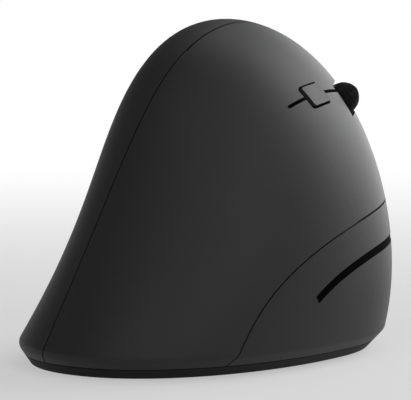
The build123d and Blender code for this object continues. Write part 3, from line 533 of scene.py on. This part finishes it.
for turn in (0.0, pi / 2):
    bpy.ops.mesh.primitive_cube_add(size=1.0, location=(0, 0, SEAT - HEAD_T))
    bar = bpy.context.object
    bar.scale = CROSS
    bar.rotation_euler.z = turn
    settle(bar)
    choose_faces(bar, lambda f: f.normal.z > UPWARD)
    edit("FACE")
    bpy.ops.transform.resize(value=(CROSS_TAPER, CROSS_TAPER, 1.0),
                             center_override=(0, 0, SEAT - HEAD_T))
    done()
    pick(screw)
    recess = screw.modifiers.new("cross_recess", "BOOLEAN")
    recess.object = bar
    recess.operation = "DIFFERENCE"
    bpy.ops.object.modifier_apply(modifier=recess.name)
    bpy.data.objects.remove(bar)
pick(screw)
bpy.ops.object.shade_smooth_by_angle(angle=SHARP)
print("screw faces:", len(screw.data.polygons))


def own_copy(piece, name, shift):
    """A copy with its own mesh, moved by a shift."""
    twin = piece.copy()
    twin.data = piece.data.copy()
    twin.name = name
    bpy.context.scene.collection.objects.link(twin)
    put(twin, shift)
    return twin


# %% The seven screws
CAD_MIDDLE = Vector((3.53, 1.38, 0.0)) * MM
SCREWS = {"housing_screws": ((-25.5, 12.0), (12.5, -38.4), (29.5, 3.0)),
          "bracket_screws": ((10.6, 0.0), (23.7, 9.2), (3.8, 23.0), (18.9, 31.7))}
for node, spots in SCREWS.items():
    for number, (x, y) in enumerate(spots, 1):
        spot = Vector((x, y, 0)) * MM - CAD_MIDDLE
        twin = own_copy(screw, node[:-1] + "_" + str(number), spot)
        keep(twin, "housing", "steel", node)
bpy.data.objects.remove(screw)

# %% [markdown]
# The battery door has three low bars that a fingernail can pull on. They are small blocks with
# round ends, rooted in the door and a little proud of it, and still clear of the desk.

# %% The door's grip bars
BAR = Vector((9.0, 0.9, 0.5)) * MM
BAR_SPOT = Vector((-1.0, -33.4, 0.62)) * MM - CAD_MIDDLE
BAR_PITCH = 1.9 * MM
BAR_END = 0.42 * MM
BAR_STEPS = 5
BAR_EDGE = 0.12 * MM
BARS = 3
bpy.ops.mesh.primitive_cube_add(size=1.0)
bar = bpy.context.object
bar.name = "grip_bar"
bar.scale = BAR
settle(bar)
choose_edges(bar, lambda a, b: abs(a.z - b.z) > BAR.z / 2)
edit("EDGE")
bpy.ops.mesh.bevel(offset=BAR_END, segments=BAR_STEPS, affect="EDGES")
done()
soften(bar, BAR_EDGE)
for number in range(BARS):
    twin = own_copy(bar, "door_grip_" + str(number + 1),
                    BAR_SPOT + Vector((0, BAR_PITCH * number, 0)))
    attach(twin, "battery_door")
    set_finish(twin, "shell")
    print(twin.name, "lowest point in mm:", round(min(v.co.z for v in twin.data.vertices) / MM, 2))
bpy.data.objects.remove(bar)

# %% [markdown]
# The mouse glides on four thin pads of slippery plastic. Their rims are pressed round, so that
# they don't catch on the edge of a mat: each pad is pressed thinner, and the middle of its lower
# face is inset and lowered to the desk again.

# %% The glide feet
PAD = 0.6 * MM
RIM_RISE = 0.35 * MM
RIM_WIDTH = 1.1 * MM
feet = fresh_copy("glide_feet", "glide_feet_skin")
edit("FACE")
bpy.ops.mesh.select_all(action="SELECT")
bpy.ops.transform.resize(value=(1.0, 1.0, 1.0 - RIM_RISE / PAD), center_override=(0, 0, PAD))
done()
choose_faces(feet, lambda f: f.normal.z < -UPWARD)
edit("FACE")
bpy.ops.mesh.dissolve_faces()
bpy.ops.mesh.inset(thickness=RIM_WIDTH, depth=RIM_RISE)
done()
pick(feet)
bpy.ops.object.shade_smooth_by_angle(angle=SHARP)
keep(feet, "housing", "glide", "glide_feet")
print("lowest point in mm:", round(min(v.co.z for v in feet.data.vertices) / MM, 3))

# %% [markdown]
# The power switch is moved with a ribbed slider in a slot. A block is cut across into strips,
# and every other strip of its lower face is pushed in.

# %% The slider's ribs
low, high = (Vector(corner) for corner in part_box("power_slider"))
RIB_DEPTH = 0.3 * MM
RIB_EDGE = 0.04 * MM
STRIPS = 7
bpy.ops.mesh.primitive_cube_add(size=1.0, location=(low + high) / 2)
slider = bpy.context.object
slider.name = "power_slider_ribbed"
slider.scale = high - low
settle(slider)
edit("FACE")
for k in range(1, STRIPS):
    bpy.ops.mesh.select_all(action="SELECT")
    cut = (0, low.y + (high.y - low.y) * k / STRIPS, 0)
    bpy.ops.mesh.bisect(plane_co=cut, plane_no=(0, 1, 0))
done()
ribs = choose_faces(slider, lambda f: f.normal.z < -UPWARD
                    and int((f.center.y - low.y) / (high.y - low.y) * STRIPS) % 2 == 1)
edit("FACE")
bpy.ops.mesh.extrude_region_move(TRANSFORM_OT_translate={"value": (0, 0, RIB_DEPTH)})
done()
soften(slider, RIB_EDGE)
keep(slider, "power_slider", "shell", "power_slider")
print("ribs:", ribs + 1)

# %% [markdown]
# Moulded plastic with a spark-eroded surface scatters light softly. Its grain is about a
# quarter of a millimetre, far finer than the picture shows, but it breaks up the reflections.
# Fine noise gives the bump and the uneven roughness, and wide noise a faint cloudiness. The
# base is duller than the shells, and its colour is a little darker: painted shade that keeps
# the lower edge dark. Three short helpers do what most of the finishes share.

# %% What most finishes share
def place_on(tree, *textures):
    """Lets textures read the piece's own coordinates."""
    place = add_node(tree, "ShaderNodeTexCoord")
    for texture in textures:
        tree.links.new(place.outputs["Object"], texture.inputs["Vector"])


def roughen(tree, shader, texture, low, high):
    """Lets a texture move the roughness between two values."""
    rough = add_node(tree, "ShaderNodeMapRange", To_Min=low, To_Max=high)
    tree.links.new(texture.outputs["Fac"], rough.inputs["Value"])
    tree.links.new(rough.outputs["Result"], shader.inputs["Roughness"])


def emboss(tree, shader, texture, strength, depth):
    """Lets a texture lift the surface by a depth."""
    bump = add_node(tree, "ShaderNodeBump", Strength=strength, Distance=depth)
    tree.links.new(texture.outputs["Fac"], bump.inputs["Height"])
    tree.links.new(bump.outputs["Normal"], shader.inputs["Normal"])


# %% A finish for moulded plastic and rubber
# A Mix node's colour sockets go by number, because their names repeat.
MIX_A, MIX_B, MIX_OUT = 6, 7, 2
GRAIN_HEIGHT = 0.02 * MM
CLOUD_SCALE = 60.0
ROUGH_SPREAD = 0.05


def grained(name, colour, roughness, grain=0.25, depth=0.3, gloss=0.5, cloud=0.12):
    """A finish with fine grain in mm, its bump strength, its gloss and a faint cloudiness."""
    material, tree, shader = new_material(name)
    shader.inputs["Specular IOR Level"].default_value = gloss
    fine = add_node(tree, "ShaderNodeTexNoise", Scale=1.0 / (grain * MM), Detail=2.0)
    wide = add_node(tree, "ShaderNodeTexNoise", Scale=CLOUD_SCALE, Detail=3.0)
    place_on(tree, fine, wide)
    emboss(tree, shader, fine, depth, GRAIN_HEIGHT)
    roughen(tree, shader, fine, roughness - ROUGH_SPREAD, roughness + ROUGH_SPREAD)
    shade = add_node(tree, "ShaderNodeMix", data_type="RGBA")
    shade.inputs[MIX_A].default_value = [c * (1 - cloud) for c in colour] + [1.0]
    shade.inputs[MIX_B].default_value = [c * (1 + cloud) for c in colour] + [1.0]
    tree.links.new(wide.outputs["Fac"], shade.inputs[0])
    tree.links.new(shade.outputs[MIX_OUT], shader.inputs["Base Color"])
    print("finish:", name)
    return material


finishes = {
    "shell": grained("shell_plastic", (0.02, 0.02, 0.021), 0.55, gloss=0.32),
    # The base's darker colour is painted shade on the lower edge; its roughness and low gloss are
    # its own.
    "base": grained("base_plastic_painted_shade", (0.016, 0.016, 0.0165), 0.7, gloss=0.16),
    "panel": grained("panel_plastic", (0.02, 0.02, 0.021), 0.55, gloss=0.32),
    "key": grained("key_plastic", (0.02, 0.02, 0.021), 0.55, gloss=0.38),
    # Almost black and nearly without gloss, so the strip stays dark along its whole length.
    "inlay": grained("inlay_black", (0.002, 0.002, 0.002), 0.8, depth=0.1, gloss=0.01),
    "tyre_rubber": grained("tyre_rubber", (0.003, 0.003, 0.003), 0.8, gloss=0.04),
    "rim": grained("rim_plastic", (0.03, 0.03, 0.032), 0.35, grain=0.5, depth=0.1),
    "chip": grained("chip_epoxy", (0.02, 0.02, 0.02), 0.45, grain=0.1, depth=0.4),
    "switch_case": grained("switch_plastic", (0.03, 0.03, 0.033), 0.4, grain=0.4, depth=0.15),
    "plunger": grained("pin_red", (0.6, 0.05, 0.04), 0.4, grain=0.4, depth=0.1),
    "bracket": grained("bracket_grey", (0.3, 0.3, 0.3), 0.5, grain=0.3),
    "nylon": grained("nylon_white", (0.75, 0.75, 0.72), 0.45, grain=0.4, depth=0.15, cloud=0.04),
    "lead": grained("lead_sleeve", (0.03, 0.03, 0.03), 0.45, grain=0.6, depth=0.1),
    "glide": grained("glide_pad", (0.08, 0.08, 0.08), 0.35, grain=0.2, depth=0.1),
}

# %% [markdown]
# Metal parts are drawn or stamped, so their fine scratches run one way. The noise is squeezed
# along one axis, and drives the roughness and a weak bump.

# %% Brushed metal
SCRATCHES = (900.0, 60.0, 900.0)
SCRATCH_HEIGHT = 0.01 * MM
DULLER = 0.12
SHINIER = 0.08


def brushed(name, colour, roughness):
    """A metal with fine scratches along Y."""
    material, tree, shader = new_material(name)
    shader.inputs["Metallic"].default_value = 1.0
    shader.inputs["Base Color"].default_value = (*colour, 1.0)
    place = add_node(tree, "ShaderNodeTexCoord")
    squeeze = add_node(tree, "ShaderNodeMapping")
    squeeze.inputs["Scale"].default_value = SCRATCHES
    tree.links.new(place.outputs["Object"], squeeze.inputs["Vector"])
    lines = add_node(tree, "ShaderNodeTexNoise", Scale=4.0, Detail=4.0)
    tree.links.new(squeeze.outputs["Vector"], lines.inputs["Vector"])
    roughen(tree, shader, lines, roughness - SHINIER, roughness + DULLER)
    emboss(tree, shader, lines, strength=0.15, depth=SCRATCH_HEIGHT)
    print("finish:", name)
    return material


finishes["steel"] = brushed("screw_steel", (0.55, 0.55, 0.56), roughness=0.3)
finishes["contact"] = brushed("contact_plate", (0.7, 0.6, 0.35), roughness=0.28)

# %% [markdown]
# A circuit board is green lacquer over copper tracks, which show as slightly paler lines. A
# brick pattern's thin joints make such a net of lines, and also lift the surface a little.

# %% The circuit boards' lacquer
TRACK_HEIGHT = 0.03 * MM
material, tree, shader = new_material("board_lacquer")
shader.inputs["Roughness"].default_value = 0.35
tracks = add_node(tree, "ShaderNodeTexBrick", Scale=300.0)
place_on(tree, tracks)
tracks.inputs["Color1"].default_value = (0.012, 0.1, 0.04, 1.0)
tracks.inputs["Color2"].default_value = (0.018, 0.12, 0.05, 1.0)
tracks.inputs["Mortar"].default_value = (0.04, 0.22, 0.1, 1.0)
tracks.inputs["Mortar Size"].default_value = 0.03
tree.links.new(tracks.outputs["Color"], shader.inputs["Base Color"])
emboss(tree, shader, tracks, strength=0.3, depth=TRACK_HEIGHT)
finishes["board"] = material
print("finish:", material.name)

# %% [markdown]
# The sensor looks through a clear moulded window. Clear plastic is mostly transmission, with a
# plastic's own refraction. A little noise in the roughness is the film of dust that it gathers.

# %% The clear window
material, tree, shader = new_material("window_clear")
shader.inputs["Base Color"].default_value = (0.9, 0.9, 0.92, 1.0)
shader.inputs["Transmission Weight"].default_value = 0.9
shader.inputs["IOR"].default_value = 1.49
dust = add_node(tree, "ShaderNodeTexNoise", Scale=2500.0, Detail=3.0)
place_on(tree, dust)
roughen(tree, shader, dust, low=0.02, high=0.18)
finishes["lens"] = material
print("finish:", material.name)

# %% [markdown]
# The cell has a printed sleeve between two bare metal ends. The bands are set by the distance
# along the cell, which is the Y axis, and stay on the mesh because they read Object coordinates.

# %% The cell's sleeve
low, high = (Vector(corner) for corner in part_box("battery_cell"))
SLEEVE_BARE = 1.2 * MM
SLEEVE_BAND = 9.0 * MM
material, tree, shader = new_material("cell_sleeve")
place = add_node(tree, "ShaderNodeTexCoord")
axis = add_node(tree, "ShaderNodeSeparateXYZ")
tree.links.new(place.outputs["Object"], axis.inputs[0])


def beyond(limit):
    """One where the point lies further along the cell than the limit."""
    step = add_node(tree, "ShaderNodeMath", operation="GREATER_THAN")
    step.inputs[1].default_value = limit
    tree.links.new(axis.outputs["Y"], step.inputs[0])
    return step.outputs[0]


colour = None
METAL_END = (0.6, 0.6, 0.6, 1.0)
for limit, tone in ((low.y + SLEEVE_BARE, (0.33, 0.34, 0.36, 1.0)),
                    (high.y - SLEEVE_BAND, (0.05, 0.22, 0.12, 1.0)),
                    (high.y - 2 * SLEEVE_BARE, METAL_END)):
    band = add_node(tree, "ShaderNodeMix", data_type="RGBA")
    band.inputs[MIX_A].default_value = METAL_END
    band.inputs[MIX_B].default_value = tone
    if colour:
        tree.links.new(colour, band.inputs[MIX_A])
    tree.links.new(beyond(limit), band.inputs[0])
    colour = band.outputs[MIX_OUT]
tree.links.new(colour, shader.inputs["Base Color"])
scuffs = add_node(tree, "ShaderNodeTexNoise", Scale=900.0, Detail=4.0)
place_on(tree, scuffs)
roughen(tree, shader, scuffs, low=0.22, high=0.4)
shader.inputs["Metallic"].default_value = 0.6
finishes["cell"] = material
print("finish:", material.name)

# %% [markdown]
# Each new piece takes the finish of its slot, and the base's skin its own duller plastic, whose
# darker colour is painted shade on the lower edge. The frame's own pieces, shown or hidden, take
# theirs from this list, so nothing is left plain.

# %% Give every piece its finish
NODE_SLOTS = {
    "shell": ("palm_shell", "thumb_shell", "base_shell", "battery_door", "left_button",
              "right_button", "power_slider", "receiver_cap"),
    "panel": ("side_panel",),
    "key": ("dpi_button", "back_button", "forward_button"),
    "inlay": ("side_inlay",),
    "tyre_rubber": ("wheel_tyre",),
    "rim": ("wheel_rim", "wheel_carrier"),
    "steel": ("wheel_axle", "receiver_plug", "housing_screws", "bracket_screws",
              "board_screws"),
    "nylon": ("board_plugs",),
    "bracket": ("board_bracket",),
    "board": ("button_board", "thumb_board", "main_board"),
    "chip": ("radio_module", "optical_sensor"),
    "lens": ("sensor_lens",),
    "switch_case": ("wheel_encoder", "power_switch", "left_switch", "right_switch",
                    "dpi_switch", "wheel_switch", "back_switch", "forward_switch"),
    "plunger": ("left_plunger", "right_plunger", "dpi_plunger", "wheel_plunger",
                "back_plunger", "forward_plunger"),
    "lead": ("button_lead", "thumb_lead"),
    "cell": ("battery_cell",),
    "contact": ("battery_spring", "battery_contact"),
    "glide": ("glide_feet",),
}
for slot, nodes in NODE_SLOTS.items():
    for node in nodes:
        for place in frame["nodes"][node].material_slots:
            place.material = finishes[slot]
for piece in bpy.data.objects:
    slot = piece.get("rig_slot")
    if slot:
        piece.data.materials.clear()
        piece.data.materials.append(finishes[slot])
# The base's skin takes the darker plastic: painted shade on the lower edge.
bpy.data.objects["base_shell_skin"].data.materials[0] = finishes["base"]
print("nodes with a finish:", sum(len(nodes) for nodes in NODE_SLOTS.values()))

# %% [markdown]
# Last, colours are shown as they are written, with the standard view transform.

# %% Finish
bpy.context.scene.view_settings.view_transform = "Standard"
